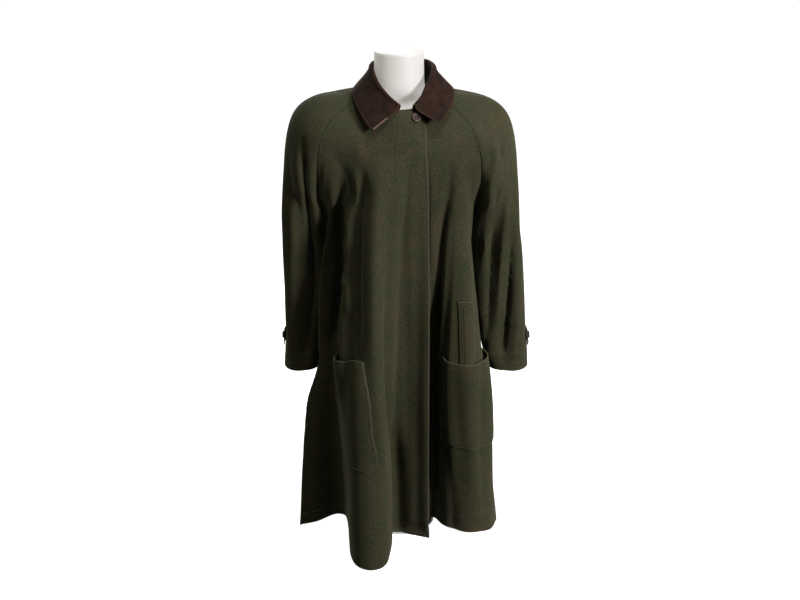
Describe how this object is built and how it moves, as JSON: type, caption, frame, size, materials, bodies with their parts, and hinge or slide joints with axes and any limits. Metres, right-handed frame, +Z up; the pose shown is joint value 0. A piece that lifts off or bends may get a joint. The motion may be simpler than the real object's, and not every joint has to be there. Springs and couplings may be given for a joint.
{
  "type": "loden coat on a dress form",
  "caption": "Green loden swing coat with raglan sleeves, fly front, corduroy collar and patch pockets, on a limbless dress form.",
  "frame": {"origin": "centre of the foot's underside, on the floor", "axes": "+Z up, the coat faces -Y, its wearer's left is at +X"},
  "size_m": [0.5607, 0.4306, 1.126],
  "materials": {
    "loden": "matt napped wool, green and brown fibres",
    "corduroy": "fine brown corduroy",
    "horn": "satin horn brown",
    "form_white": "satin white",
    "steel": "satin"
  },
  "bodies": {
    "root": {"front_right": "loden", "front_left": "loden", "back_left": "loden", "back_right": "loden", "sleeve_front_right": "loden", "sleeve_back_right": "loden", "sleeve_front_left": "loden", "sleeve_back_left": "loden", "collar": "corduroy", "patch_pocket_right": "loden", "patch_pocket_left": "loden", "welt_right": "loden", "welt_left": "loden", "cuff_tab_right": "loden", "cuff_tab_left": "loden", "neck_button": "horn", "cuff_button_right": "horn", "cuff_button_left": "horn", "form_torso": "form_white", "form_pole": "steel", "form_foot": "steel"}
  },
  "joints": []
}
